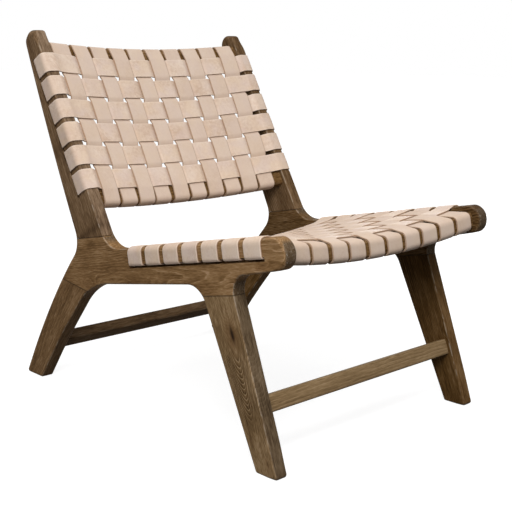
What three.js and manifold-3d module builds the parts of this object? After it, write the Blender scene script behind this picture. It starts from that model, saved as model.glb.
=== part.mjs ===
// Low armless lounge chair: two glued-up wooden side frames joined by four cross rails and two
// stretchers, with a seat and a back woven from flat leather straps.
// Millimetres, +Z up, the chair faces -Y, and the origin is on the floor under the middle of the chair.
import * as THREE from 'three';
import { mergeVertices } from 'three/addons/utils/BufferGeometryUtils.js';
import Module from 'manifold-3d';

// Side frames
const frameWidth = 583; // over the outer faces of the two side frames
const frameThickness = 29;
const edgeRadius = 4; // rounded arris of the side frames
const glueGap = 0.3; // between glued or fitted wooden faces

// Side view: the seat line and the back line meet at the crotch
const crotchSetback = 89.5; // behind the middle of the chair
const crotchHeight = 329.4;
const seatTilt = 11.2; // degrees, falling to the rear
const backLean = 30; // degrees from upright
const crotchRadius = 58;

// Side view: back post
const postTopHeight = 758;
const postTopWidth = 47; // front to rear, at the top
const postRearLean = 24.2; // degrees from upright
const postRearBulge = 5; // the rear edge bows out by this much
const postTopFrontRadius = 8;
const postTopRearRadius = 20;
const waistHeight = 323.8; // where post and rear leg pinch in behind the crotch
const waistRadius = 48;
const postJointRise = 28; // the glue joint under the post, above the seat line

// Side view: rear leg
const rearReach = 410.2; // heel of the rear foot behind the middle of the chair
const rearFootLength = 61.3;
const rearLegToeLean = 35.6; // front edge at the foot, degrees from upright
const rearLegFrontLean = 39.3; // front edge above the knee
const rearKneeHeight = 100; // where the front edge bends
const rearKneeRadius = 1500;
const rearLegTopLean = 42; // rear edge, at the waist
const rearLegHeelLean = 28.4; // rear edge, at the foot
const rearForkRadius = 170; // sweep from the rail's underside into the rear leg
const rearJointHeight = 231;
const rearJointTilt = -7; // degrees, rising to the rear

// Side view: rail and nose
const railDepth = 70; // below the crotch
const railUndersideTilt = 10; // degrees
const noseReach = 406.5; // in front of the middle of the chair
const noseDepth = 56;
const noseUndersideTilt = 14.4; // degrees
const noseTopRadius = 28;
const noseLowRadius = 24;

// Side view: front leg
const frontFootInset = 9; // toe behind the nose
const frontFootLength = 53.5;
const frontLegFrontLean = 20.5; // degrees from upright
const frontLegRearLean = 26.2;
const noseForkRadius = 32;
const frontForkRadius = 48;
const frontJointDrop = 95; // the glue joint above the front leg, below the seat line
const footRadius = 5.5; // corners of the feet, rounder than the arrises

// Loose tenons inside the glue joints, and the tenons on the ends of rails and stretchers
const looseTenonThickness = 10;
const looseTenonWidth = 40;
const looseTenonLength = 50;
const tenonLength = 20;
const tenonShoulder = 5;

// Leather straps
const strapThickness = 3;
const strapClearance = 0.3; // between a strap and whatever it lies on
const crossingMargin = 1; // a strap stays level this far past the strap that it crosses
const flapDrop = 31; // a cross strap runs this far down the outer face
const grooveClearance = 1.5; // above and below a strap end in its groove
const grooveEndGap = 3; // between a strap end and the bottom of its groove
const grooveOverrun = 3; // a groove is this much longer than the row of straps in it
const tuckDepth = 11; // strap ends reach this far into their groove

// Seat weave, in the plane of the seat line, measured to the rear from the first cross strap
const seatFrontSetback = 59.5; // first cross strap behind the nose
const seatLength = 375.5; // over all cross straps
const seatRowWidth = 43.5;
const seatRowGap = 6; // least gap between cross straps
const seatColumnWidth = 45;
const seatColumnGap = 4; // least gap between lengthwise straps
const seatSideGap = 5; // between the outer lengthwise straps and the side frames
const seatRowSkew = 12; // right ends of the cross straps behind their left ends
const seatSlack = 2; // the lengthwise straps crowd to the left by this much
const seatEdgeDrop = 7; // weave below the seat line, beside the side frames
const seatDip = 19; // weave and rails sink this much more at the middle
const seatMiddleRise = 6; // halfway between the rails the weave is this much higher again
const seatRailDrop = 14; // rail tops below the seat line, at their ends
const seatRailWidth = 24;
const seatRailDepth = 33;
const seatRailGap = 11.5; // between a rail and the nearest cross strap
const seatFrontArch = 14; // the front rail's middle is this much further to the rear than its ends
const railEdgeRadius = 8; // rounded edges of the cross rails

// Back weave, in the plane of the back line, measured up from the crotch
const backStart = 132.5; // lower edge of the lowest cross strap
const backLength = 309;
const backRowWidth = 44;
const backRowGap = 6;
const backColumnWidth = 44;
const backColumnGap = 4;
const backSideGap = 10;
const backLowerSlack = 3; // on the lower rail the upright straps crowd to the left by this much
const backUpperSpread = 3.5; // on the top rail they spread to the right by this much
const backEdgeDrop = 4;
const backTopBow = 25;
const backLowBow = 17;
const backRailSetback = 8; // rail faces behind the front of the posts, at their ends
const backRailWidth = 38;
const backRailDepth = 24;
const backRailLap = 7; // the rails reach this far behind the nearest cross strap

// Stretchers, each lined up with the front edge of its legs
const frontStretcherRise = 122; // up to its middle, at the front edge of the leg
const frontStretcherHeight = 32;
const frontStretcherThickness = 22;
const rearStretcherRise = 79;
const rearStretcherHeight = 28.5;
const rearStretcherThickness = 27;
const stretcherInset = 8; // behind the front edge of the leg
const stretcherEdgeRadius = 4;

const wood = { color: 0x65513a, roughness: 0.72, metalness: 0 };
const leather = { color: 0xd3baa6, roughness: 0.6, metalness: 0 };

const radians = THREE.MathUtils.degToRad;
const outerX = frameWidth / 2;
const innerX = outerX - frameThickness;
const halfStrap = strapThickness / 2;
const strapSeat = strapClearance + halfStrap; // middle of a strap above what it lies on
const crossingLift = (strapThickness + strapClearance) / 2; // middle of a strap off the weave's middle
const grooveWidth = strapThickness + 2 * grooveClearance;
const grooveDepth = tuckDepth + grooveEndGap;

const wasm = await Module();
wasm.setup();

// Solids

function toSolid(geometry) {
  const bare = geometry.clone();
  bare.deleteAttribute('normal');
  bare.deleteAttribute('uv');
  const tolerance = 1e-4;
  const merged = mergeVertices(bare, tolerance);
  const vertProperties = new Float32Array(merged.attributes.position.array);
  const triVerts = new Uint32Array(merged.index.array);
  return new wasm.Manifold(new wasm.Mesh({ numProp: 3, vertProperties, triVerts }));
}

function fromSolid(solid) {
  const { vertProperties, triVerts } = solid.getMesh();
  const geometry = new THREE.BufferGeometry();
  geometry.setAttribute('position', new THREE.BufferAttribute(vertProperties, 3));
  geometry.setIndex(new THREE.BufferAttribute(triVerts, 1));
  return geometry;
}

function namedMesh(name, geometry, finish) {
  const faceted = geometry.toNonIndexed();
  faceted.computeVertexNormals();
  const mesh = new THREE.Mesh(faceted, new THREE.MeshStandardMaterial(finish));
  mesh.name = name;
  return mesh;
}

// The same shape on the other side of the chair, with its faces turned to point out again.
function mirroredInX(geometry) {
  const mirrored = geometry.clone();
  mirrored.scale(-1, 1, 1);
  mirrored.setIndex(Array.from(mirrored.index.array).reverse());
  return mirrored;
}

function box(low, high) {
  const size = high.clone().sub(low);
  const middle = low.clone().add(high).multiplyScalar(0.5);
  return new THREE.BoxGeometry(size.x, size.y, size.z).translate(middle.x, middle.y, middle.z);
}

function signedVolume(points, index) {
  let volume = 0;
  for (let i = 0; i < index.length; i += 3) {
    const [a, b, c] = index.slice(i, i + 3).map((k) => points[k]);
    volume += a.dot(b.clone().cross(c)) / 6;
  }
  return volume;
}

// Skins a row of like rings of points into one closed body with flat ends.
function loft(rings) {
  const size = rings[0].length;
  const points = rings.flat();
  const index = [];
  for (let k = 0; k + 1 < rings.length; k += 1) {
    for (let j = 0; j < size; j += 1) {
      const a = k * size + j;
      const b = k * size + (j + 1) % size;
      index.push(a, b, b + size, a, b + size, a + size);
    }
  }
  const last = (rings.length - 1) * size;
  for (let j = 1; j + 1 < size; j += 1) {
    index.push(0, j + 1, j);
    index.push(last, last + j, last + j + 1);
  }
  if (signedVolume(points, index) < 0) {
    index.reverse();
  }
  const geometry = new THREE.BufferGeometry().setFromPoints(points);
  geometry.setIndex(index);
  return geometry;
}

// Points on an arc round a centre, from one angle to another in two equal steps.
function arc(centre, radius, fromDegrees, toDegrees) {
  const steps = 2;
  return Array.from({ length: steps + 1 }, (_, k) => {
    const angle = radians(fromDegrees + (toDegrees - fromDegrees) * k / steps);
    return new THREE.Vector2(centre.x + radius * Math.cos(angle), centre.y + radius * Math.sin(angle));
  });
}

function roundedRectangle(low, high, radius) {
  const left = low.x + radius;
  const right = high.x - radius;
  const bottom = low.y + radius;
  const top = high.y - radius;
  return [
    ...arc({ x: right, y: top }, radius, 0, 90),
    ...arc({ x: left, y: top }, radius, 90, 180),
    ...arc({ x: left, y: bottom }, radius, 180, 270),
    ...arc({ x: right, y: bottom }, radius, 270, 360),
  ];
}

// Side view of the frame: x of these points is the chair's y, and y of these points is its height.

const leaning = (degrees) => new THREE.Vector2(Math.sin(radians(degrees)), Math.cos(radians(degrees)));
const forward = (degrees) => new THREE.Vector2(-Math.cos(radians(degrees)), Math.sin(radians(degrees)));
const level = leaning(90);
const upright = leaning(0);

// Where the line from a along u crosses the line from b along v.
function crossing(a, u, b, v) {
  const reach = b.clone().sub(a).cross(v) / u.cross(v);
  return a.clone().addScaledVector(u, reach);
}

function midpoint(a, b) {
  return a.clone().add(b).multiplyScalar(0.5);
}

// Points between the ends of a smooth bow.
function bowed(start, control, end) {
  const steps = 6;
  const curve = new THREE.QuadraticBezierCurve(start, control, end);
  return curve.getPoints(steps).slice(1, -1).map((point) => ({ point, radius: 0 }));
}

// Replaces each corner that has a radius by an arc. Where two arcs need more than the edge between them,
// both are made smaller in proportion.
function filleted(corners) {
  const stepDegrees = 9;
  const origin = new THREE.Vector2();
  const edgesAt = corners.map(({ point }, i) => {
    const before = corners.at(i - 1).point.clone().sub(point);
    const after = corners[(i + 1) % corners.length].point.clone().sub(point);
    return { before, after, half: before.angleTo(after) / 2 };
  });
  const wanted = corners.map(({ radius }, i) => radius / Math.tan(edgesAt[i].half));
  return corners.flatMap(({ point, radius }, i) => {
    if (radius === 0) {
      return [point];
    }
    const { before, after, half } = edgesAt[i];
    const shareBefore = before.length() / (wanted[i] + wanted.at(i - 1));
    const shareAfter = after.length() / (wanted[i] + wanted[(i + 1) % corners.length]);
    const tangent = wanted[i] * Math.min(1, shareBefore, shareAfter);
    const size = tangent * Math.tan(half);
    const start = before.clone().setLength(tangent);
    const centre = start.clone().add(after.clone().setLength(tangent)).setLength(size / Math.sin(half));
    const sweep = (Math.PI - 2 * half) * -Math.sign(before.cross(after));
    const steps = Math.max(2, Math.ceil(Math.abs(sweep) / radians(stepDegrees)));
    return Array.from({ length: steps + 1 }, (_, k) => {
      const spoke = start.clone().sub(centre).rotateAround(origin, sweep * k / steps);
      return point.clone().add(centre).add(spoke);
    });
  });
}

const crotch = new THREE.Vector2(crotchSetback, crotchHeight);
const postTopFront = crossing(crotch, leaning(backLean), new THREE.Vector2(0, postTopHeight), level);
const postTopRear = postTopFront.clone().addScaledVector(level, postTopWidth);
const waist = crossing(postTopRear, leaning(postRearLean), new THREE.Vector2(0, waistHeight), level);
const postBow = midpoint(postTopRear, waist).addScaledVector(leaning(90 + postRearLean), 2 * postRearBulge);
const rearHeel = new THREE.Vector2(rearReach, 0);
const rearToe = new THREE.Vector2(rearReach - rearFootLength, 0);
const rearLegBow = crossing(waist, leaning(-rearLegTopLean), rearHeel, leaning(-rearLegHeelLean));
const underCrotch = new THREE.Vector2(crotchSetback, crotchHeight - railDepth);
const rearKnee = crossing(rearToe, leaning(-rearLegToeLean), new THREE.Vector2(0, rearKneeHeight), level);
const rearFork = crossing(rearKnee, leaning(-rearLegFrontLean), underCrotch, forward(railUndersideTilt));
const frontToe = new THREE.Vector2(frontFootInset - noseReach, 0);
const frontHeel = frontToe.clone().addScaledVector(level, frontFootLength);
const frontFork = crossing(frontHeel, leaning(frontLegRearLean), underCrotch, forward(railUndersideTilt));
const noseTop = crossing(crotch, forward(seatTilt), new THREE.Vector2(-noseReach, 0), upright);
const noseLow = noseTop.clone().addScaledVector(upright, -noseDepth);
const noseFork = crossing(frontToe, leaning(frontLegFrontLean), noseLow, forward(noseUndersideTilt));

const sideOutline = filleted([
  { point: rearHeel, radius: footRadius },
  ...bowed(rearHeel, rearLegBow, waist),
  { point: waist, radius: waistRadius },
  ...bowed(waist, postBow, postTopRear),
  { point: postTopRear, radius: postTopRearRadius },
  { point: postTopFront, radius: postTopFrontRadius },
  { point: crotch, radius: crotchRadius },
  { point: noseTop, radius: noseTopRadius },
  { point: noseLow, radius: noseLowRadius },
  { point: noseFork, radius: noseForkRadius },
  { point: frontToe, radius: footRadius },
  { point: frontHeel, radius: footRadius },
  { point: frontFork, radius: frontForkRadius },
  { point: rearFork, radius: rearForkRadius },
  { point: rearKnee, radius: rearKneeRadius },
  { point: rearToe, radius: footRadius },
]);

// The whole left side frame in one board, before it is parted at its glue joints.
function sideFrameBlank() {
  const geometry = new THREE.ExtrudeGeometry(new THREE.Shape(sideOutline), {
    depth: frameThickness - 2 * edgeRadius,
    steps: 1,
    bevelThickness: edgeRadius,
    bevelSize: edgeRadius,
    bevelOffset: -edgeRadius,
    bevelSegments: 2,
  });
  geometry.translate(0, 0, edgeRadius - outerX);
  const sideViewToChair = new THREE.Matrix4().makeBasis(
    new THREE.Vector3(0, 1, 0),
    new THREE.Vector3(0, 0, 1),
    new THREE.Vector3(1, 0, 0),
  );
  return toSolid(geometry.applyMatrix4(sideViewToChair));
}

// Glue joints of the side frame: a line across the board, with the outer piece above or below it.

const seatUp = leaning(seatTilt);

function glueJoint(anchor, tilt, outward, frontEdge, rearEdge) {
  const front = crossing(anchor, forward(tilt), frontEdge.point, leaning(frontEdge.lean));
  const rear = crossing(anchor, forward(tilt), rearEdge.point, leaning(rearEdge.lean));
  return { middle: midpoint(front, rear), tilt, outward };
}

const postJoint = glueJoint(
  crotch.clone().addScaledVector(seatUp, postJointRise),
  seatTilt,
  1,
  { point: crotch, lean: backLean },
  { point: waist, lean: postRearLean },
);
const frontLegJoint = glueJoint(
  crotch.clone().addScaledVector(seatUp, -frontJointDrop),
  seatTilt,
  -1,
  { point: frontToe, lean: frontLegFrontLean },
  { point: frontHeel, lean: frontLegRearLean },
);
const rearLegJoint = glueJoint(
  new THREE.Vector2(rearFork.x, rearJointHeight),
  rearJointTilt,
  -1,
  { point: rearKnee, lean: -rearLegFrontLean },
  { point: waist, lean: -rearLegTopLean },
);
const halfLegSpread = (rearLegJoint.middle.x - frontLegJoint.middle.x) / 2;

// Lines a block up with a joint: across the board, to the rear along the joint, and up out of it.
function atJoint(joint, block) {
  block.rotateX(radians(-joint.tilt));
  return block.translate(0, joint.middle.x, joint.middle.y);
}

// All of the side frame that lies beyond a joint, from a given distance past the joint.
function beyondJoint(joint, start) {
  const far = postTopHeight + noseReach + rearReach;
  const frontEnd = joint === rearLegJoint ? -halfLegSpread : -far;
  const rearEnd = joint === frontLegJoint ? halfLegSpread : far;
  const [low, high] = joint.outward > 0 ? [start, far] : [-far, -start];
  const block = box(new THREE.Vector3(-far, frontEnd, low), new THREE.Vector3(far, rearEnd, high));
  return toSolid(atJoint(joint, block));
}

function looseTenon(clearance) {
  const size = new THREE.Vector3(looseTenonThickness, looseTenonWidth, looseTenonLength);
  size.addScalar(2 * clearance);
  return new THREE.BoxGeometry(size.x, size.y, size.z);
}

// The mortise of a joint's loose tenon, in the left side frame.
function looseMortise(joint) {
  const block = looseTenon(glueGap).translate(frameThickness / 2 - outerX, 0, 0);
  return toSolid(atJoint(joint, block));
}

// Weaves: in a panel's own frame x runs across the chair, y along the panel and z out of its face.

function countThatFits(room, width, gap) {
  return Math.floor((room + gap) / (width + gap));
}

function panelGroup(origin, turnDegrees) {
  const group = new THREE.Group();
  group.position.set(0, origin.x, origin.y);
  group.rotation.x = radians(turnDegrees);
  group.updateMatrix();
  return group;
}

const seat = {
  name: 'seat',
  columnName: 'seat_long_strap',
  group: panelGroup(noseTop.clone().addScaledVector(forward(seatTilt), -seatFrontSetback), -seatTilt),
  start: 0,
  length: seatLength,
  rowWidth: seatRowWidth,
  rowGap: seatRowGap,
  rowSkew: seatRowSkew,
  columnWidth: seatColumnWidth,
  columnGap: seatColumnGap,
  sideGap: seatSideGap,
  edgeDrop: seatEdgeDrop,
  middleRise: seatMiddleRise,
  railDrop: seatRailDrop,
  railDepth: seatRailDepth,
  ends: [
    {
      name: 'front_seat_rail',
      outer: -seatRailGap - seatRailWidth,
      inner: -seatRailGap,
      bow: seatDip,
      arch: seatFrontArch,
      slack: seatSlack,
    },
    {
      name: 'rear_seat_rail',
      outer: seatLength + seatRowSkew + seatRailGap + seatRailWidth,
      inner: seatLength + seatRowSkew + seatRailGap,
      bow: seatDip,
      arch: 0,
      slack: seatSlack,
    },
  ],
};

const back = {
  name: 'back',
  columnName: 'back_upright_strap',
  group: panelGroup(crotch, 90 - backLean),
  start: backStart,
  length: backLength,
  rowWidth: backRowWidth,
  rowGap: backRowGap,
  rowSkew: 0,
  columnWidth: backColumnWidth,
  columnGap: backColumnGap,
  sideGap: backSideGap,
  edgeDrop: backEdgeDrop,
  middleRise: 0,
  railDrop: backRailSetback,
  railDepth: backRailDepth,
  ends: [
    {
      name: 'lower_back_rail',
      outer: backStart + backRailLap - backRailWidth,
      inner: backStart + backRailLap,
      bow: backLowBow,
      arch: 0,
      slack: backLowerSlack,
    },
    {
      name: 'top_back_rail',
      outer: backStart + backLength - backRailLap + backRailWidth,
      inner: backStart + backLength - backRailLap,
      bow: backTopBow,
      arch: 0,
      slack: -backUpperSpread,
    },
  ],
};

function columnRoom(panel, slack) {
  return 2 * (innerX - panel.sideGap) - slack;
}

for (const panel of [seat, back]) {
  const [low, high] = panel.ends;
  const tightest = Math.min(columnRoom(panel, low.slack), columnRoom(panel, high.slack));
  panel.rows = countThatFits(panel.length, panel.rowWidth, panel.rowGap);
  panel.columns = countThatFits(tightest, panel.columnWidth, panel.columnGap);
  panel.rowPitch = (panel.length - panel.rowWidth) / (panel.rows - 1);
}

// A value that runs evenly from the panel's first rail to its second.
function between(panel, key, y) {
  const [low, high] = panel.ends;
  const place = THREE.MathUtils.clamp(y, low.inner, high.inner);
  return THREE.MathUtils.mapLinear(place, low.inner, high.inner, low[key], high[key]);
}

const sag = (x) => 1 - (x / innerX) ** 2;

// The weave sags across the chair between the side frames and rises a little between the rails.
function weaveHeight(panel, x, y) {
  const fromMiddle = (y - panel.start) / (panel.length / 2) - 1;
  const rise = panel.middleRise * (1 - fromMiddle ** 2);
  return rise - panel.edgeDrop - between(panel, 'bow', y) * sag(x);
}

function railTop(panel, rail, x) {
  return -panel.railDrop - rail.bow * sag(x);
}

// How far a rail is shifted along the panel, towards the weave.
function railShift(rail, x) {
  return Math.sign(rail.inner - rail.outer) * rail.arch * sag(x);
}

function rowEdges(panel, row) {
  const low = panel.start + row * panel.rowPitch;
  return [low, low + panel.rowWidth];
}

// How far the skew has moved a cross strap along the panel, at a place across the chair.
function rowDrift(panel, x) {
  const place = THREE.MathUtils.clamp(x, -innerX, innerX);
  return THREE.MathUtils.mapLinear(place, -innerX, innerX, 0, panel.rowSkew);
}

// The two edges of a lengthwise strap, at a place along the panel.
function columnEdges(panel, column, y) {
  const pitch = (columnRoom(panel, between(panel, 'slack', y)) - panel.columnWidth) / (panel.columns - 1);
  const left = panel.sideGap - innerX + column * pitch;
  return [left, left + panel.columnWidth];
}

const rowIsOver = (row, column) => (row + column) % 2 === 1;

function indices(count) {
  return Array.from({ length: count }, (_, k) => k);
}

// Gives a path in a plane the thickness of a strap: one point on each side of every point, on the mitre.
function thickened(path) {
  return path.map((point, k) => {
    const arriving = point.clone().sub(path[Math.max(k - 1, 0)]).normalize();
    const leaving = path[Math.min(k + 1, path.length - 1)].clone().sub(point).normalize();
    const along = arriving.clone().add(leaving).normalize();
    const across = new THREE.Vector2(-along.y, along.x);
    const straight = k === 0 ? leaving : arriving;
    const offset = across.multiplyScalar(halfStrap / along.dot(straight));
    return [point.clone().add(offset), point.clone().sub(offset)];
  });
}

// A strap from the paths of its two edges; place puts a point of the first or second path into the panel.
function strap(paths, place) {
  const [first, second] = paths.map(thickened);
  return loft(first.map((pair, k) => [
    place(0, pair[0], paths[0][k]),
    place(1, second[k][0], paths[1][k]),
    place(1, second[k][1], paths[1][k]),
    place(0, pair[1], paths[0][k]),
  ]));
}

// Path of a cross strap round the left side member, from its tucked end to where it leaves the inner
// edge on a tangent to the first crossing.
function sideWrap(firstCrossing) {
  const groove = -flapDrop - grooveWidth / 2;
  const bend = edgeRadius + strapSeat;
  const outerEdge = new THREE.Vector2(edgeRadius - outerX, -edgeRadius);
  const innerEdge = new THREE.Vector2(-innerX - edgeRadius, -edgeRadius);
  const away = firstCrossing.clone().sub(innerEdge);
  const tangent = Math.atan2(away.y, away.x) + Math.acos(bend / away.length());
  return [
    new THREE.Vector2(tuckDepth - outerX, groove),
    new THREE.Vector2(-outerX - strapSeat, groove),
    ...arc(outerEdge, bend, 180, 90),
    ...arc(innerEdge, bend, 90, THREE.MathUtils.radToDeg(tangent)),
  ];
}

const mirrored = (point) => new THREE.Vector2(-point.x, point.y);

function rowPath(panel, row, y) {
  const weave = indices(panel.columns).flatMap((column) => {
    const [low, high] = columnEdges(panel, column, y);
    const lift = rowIsOver(row, column) ? crossingLift : -crossingLift;
    return [low - crossingMargin, high + crossingMargin].map(
      (x) => new THREE.Vector2(x, weaveHeight(panel, x, y + rowDrift(panel, x)) + lift),
    );
  });
  const left = sideWrap(weave[0]);
  const right = sideWrap(mirrored(weave.at(-1))).map(mirrored).reverse();
  return [...left, ...weave, ...right];
}

function rowStrap(panel, row) {
  const edges = rowEdges(panel, row);
  const paths = edges.map((y) => rowPath(panel, row, y));
  return strap(paths, (side, point, onPath) => {
    return new THREE.Vector3(point.x, edges[side] + rowDrift(panel, onPath.x), point.y);
  });
}

// Path of a lengthwise strap round a rail, from its tucked end to where it leaves the rail for the weave.
function railWrap(panel, rail, x) {
  const top = railTop(panel, rail, x);
  const bottom = top - panel.railDepth;
  const width = Math.abs(rail.inner - rail.outer);
  const inward = Math.sign(rail.inner - rail.outer);
  const bend = railEdgeRadius + strapSeat;
  const path = [
    new THREE.Vector2(width / 2, bottom + tuckDepth),
    new THREE.Vector2(width / 2, bottom - strapSeat),
    ...arc({ x: railEdgeRadius, y: bottom + railEdgeRadius }, bend, 270, 180),
    ...arc({ x: railEdgeRadius, y: top - railEdgeRadius }, bend, 180, 90),
  ];
  const outer = rail.outer + railShift(rail, x);
  return path.map((point) => new THREE.Vector2(outer + inward * point.x, point.y));
}

function columnPath(panel, column, side) {
  const [low, high] = panel.ends;
  const edgeAt = (y) => columnEdges(panel, column, y)[side];
  const weave = indices(panel.rows).flatMap((row) => {
    const [near, far] = rowEdges(panel, row);
    const lift = rowIsOver(row, column) ? -crossingLift : crossingLift;
    return [near - crossingMargin, far + crossingMargin].map((edge) => {
      const y = edge + rowDrift(panel, edgeAt(edge));
      return new THREE.Vector2(y, weaveHeight(panel, edgeAt(y), y) + lift);
    });
  });
  const lowWrap = railWrap(panel, low, edgeAt(low.inner));
  const highWrap = railWrap(panel, high, edgeAt(high.inner)).reverse();
  return [...lowWrap, ...weave, ...highWrap];
}

function columnStrap(panel, column) {
  const paths = [0, 1].map((side) => columnPath(panel, column, side));
  return strap(paths, (side, point, onPath) => {
    const x = columnEdges(panel, column, onPath.x)[side];
    return new THREE.Vector3(x, point.x, point.y);
  });
}

// Cross rails: a bowed bar with a groove for the strap ends in its hidden face and a tenon at each end.

function railLimits(panel, rail, shrink) {
  const low = new THREE.Vector2(Math.min(rail.inner, rail.outer) + shrink, shrink - panel.railDepth);
  const high = new THREE.Vector2(Math.max(rail.inner, rail.outer) - shrink, -shrink);
  return [low, high];
}

function barSection(panel, rail, x) {
  const [low, high] = railLimits(panel, rail, 0);
  return roundedRectangle(low, high, railEdgeRadius).map((point) => {
    return new THREE.Vector3(x, point.x + railShift(rail, x), point.y + railTop(panel, rail, x));
  });
}

// Both tenons of a rail in one block through the chair, grown on every side to make their mortises.
function railTenon(panel, rail, grow) {
  const [low, high] = railLimits(panel, rail, tenonShoulder - grow);
  const end = innerX + tenonLength + grow;
  const lowest = new THREE.Vector3(-end, low.x, low.y - panel.railDrop);
  const highest = new THREE.Vector3(end, high.x, high.y - panel.railDrop);
  return box(lowest, highest);
}

function crossRail(panel, rail) {
  const edges = indices(panel.columns).flatMap((column) => columnEdges(panel, column, rail.inner));
  const shoulder = innerX - glueGap;
  const stations = [-shoulder, ...edges, shoulder];
  const bar = toSolid(loft(stations.map((x) => barSection(panel, rail, x))));
  const grooveStations = [edges[0] - grooveOverrun, ...edges, edges.at(-1) + grooveOverrun];
  const groove = toSolid(loft(grooveStations.map((x) => {
    const bottom = railTop(panel, rail, x) - panel.railDepth;
    const middle = (rail.inner + rail.outer) / 2 + railShift(rail, x);
    const sides = [middle - grooveWidth / 2, middle + grooveWidth / 2];
    return [
      new THREE.Vector3(x, sides[0], bottom - grooveDepth),
      new THREE.Vector3(x, sides[1], bottom - grooveDepth),
      new THREE.Vector3(x, sides[1], bottom + grooveDepth),
      new THREE.Vector3(x, sides[0], bottom + grooveDepth),
    ];
  })));
  const tenonRoot = Math.max(-edges[0], edges.at(-1)) + grooveOverrun;
  const far = new THREE.Vector3(tenonRoot, panel.length * 2, panel.length * 2);
  const tenons = toSolid(railTenon(panel, rail, 0)).subtract(toSolid(box(far.clone().negate(), far)));
  return fromSolid(bar.subtract(groove).add(tenons));
}

// The long groove in the outer face of a side member that takes the ends of the cross straps, cut on the
// left; the drift moves it along to where the straps end.
function sideGroove(panel, drift) {
  const start = panel.start + drift - grooveOverrun;
  const end = panel.start + panel.length + drift + grooveOverrun;
  const low = new THREE.Vector3(-outerX - grooveDepth, start, -flapDrop - grooveWidth);
  const high = new THREE.Vector3(grooveDepth - outerX, end, -flapDrop);
  return toSolid(box(low, high).applyMatrix4(panel.group.matrix));
}

function railMortise(panel, rail) {
  return toSolid(railTenon(panel, rail, glueGap).applyMatrix4(panel.group.matrix));
}

// Stretchers

function stretcherGroup(foot, lean, rise, thickness) {
  const edge = crossing(foot, leaning(lean), new THREE.Vector2(0, rise), level);
  const middle = edge.addScaledVector(leaning(90 + lean), stretcherInset + thickness / 2);
  return panelGroup(middle, -lean);
}

const stretchers = [
  {
    name: 'front_stretcher',
    group: stretcherGroup(frontToe, frontLegFrontLean, frontStretcherRise, frontStretcherThickness),
    thickness: frontStretcherThickness,
    height: frontStretcherHeight,
  },
  {
    name: 'rear_stretcher',
    group: stretcherGroup(rearToe, -rearLegToeLean, rearStretcherRise, rearStretcherThickness),
    thickness: rearStretcherThickness,
    height: rearStretcherHeight,
  },
];

function stretcherTenon(stretcher, grow) {
  const high = new THREE.Vector3(
    innerX + tenonLength + grow,
    stretcher.thickness / 2 - tenonShoulder + grow,
    stretcher.height / 2 - tenonShoulder + grow,
  );
  return box(high.clone().negate(), high);
}

function stretcherBar(stretcher) {
  const high = new THREE.Vector2(stretcher.thickness / 2, stretcher.height / 2);
  const section = roundedRectangle(high.clone().negate(), high, stretcherEdgeRadius);
  const shoulder = innerX - glueGap;
  const ring = (x) => section.map((point) => new THREE.Vector3(x, point.x, point.y));
  const rings = [ring(-shoulder), ring(shoulder)];
  return fromSolid(toSolid(loft(rings)).add(toSolid(stretcherTenon(stretcher, 0))));
}

function stretcherMortise(stretcher) {
  return toSolid(stretcherTenon(stretcher, glueGap).applyMatrix4(stretcher.group.matrix));
}

// Assembly

const chair = new THREE.Group();
const blank = sideFrameBlank();
const [frontStretcher, rearStretcher] = stretchers;
const joints = [postJoint, frontLegJoint, rearLegJoint];
const halfGap = glueGap / 2;

function sidePieces(side) {
  return {
    back_post: blank.intersect(beyondJoint(postJoint, halfGap))
      .subtract(looseMortise(postJoint))
      .subtract(sideGroove(back, rowDrift(back, side * innerX)))
      .subtract(railMortise(back, back.ends[0]))
      .subtract(railMortise(back, back.ends[1])),
    side_rail: joints.reduce((board, joint) => board.subtract(beyondJoint(joint, -halfGap)), blank)
      .subtract(looseMortise(postJoint))
      .subtract(looseMortise(frontLegJoint))
      .subtract(looseMortise(rearLegJoint))
      .subtract(sideGroove(seat, rowDrift(seat, side * innerX)))
      .subtract(railMortise(seat, seat.ends[0]))
      .subtract(railMortise(seat, seat.ends[1])),
    front_leg: blank.intersect(beyondJoint(frontLegJoint, halfGap))
      .subtract(looseMortise(frontLegJoint))
      .subtract(stretcherMortise(frontStretcher)),
    rear_leg: blank.intersect(beyondJoint(rearLegJoint, halfGap))
      .subtract(looseMortise(rearLegJoint))
      .subtract(stretcherMortise(rearStretcher)),
  };
}

for (const [name, solid] of Object.entries(sidePieces(-1))) {
  chair.add(namedMesh(`left_${name}`, fromSolid(solid), wood));
}
for (const [name, solid] of Object.entries(sidePieces(1))) {
  chair.add(namedMesh(`right_${name}`, mirroredInX(fromSolid(solid)), wood));
}

for (const [name, joint] of [['post', postJoint], ['front_leg', frontLegJoint], ['rear_leg', rearLegJoint]]) {
  for (const [side, sign] of [['left', -1], ['right', 1]]) {
    const tenon = namedMesh(`${side}_${name}_tenon`, looseTenon(0), wood);
    tenon.position.set(sign * (outerX - frameThickness / 2), joint.middle.x, joint.middle.y);
    tenon.rotation.x = radians(-joint.tilt);
    chair.add(tenon);
  }
}

for (const stretcher of stretchers) {
  stretcher.group.add(namedMesh(stretcher.name, stretcherBar(stretcher), wood));
  chair.add(stretcher.group);
}

for (const panel of [seat, back]) {
  for (const rail of panel.ends) {
    panel.group.add(namedMesh(rail.name, crossRail(panel, rail), wood));
  }
  for (const column of indices(panel.columns)) {
    panel.group.add(namedMesh(`${panel.columnName}_${column + 1}`, columnStrap(panel, column), leather));
  }
  for (const row of indices(panel.rows)) {
    panel.group.add(namedMesh(`${panel.name}_cross_strap_${row + 1}`, rowStrap(panel, row), leather));
  }
  chair.add(panel.group);
}

export default chair;
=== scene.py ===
import bmesh
import bpy
import numpy as np
from mathutils import Matrix, Vector
from mathutils.geometry import tessellate_polygon


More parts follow.
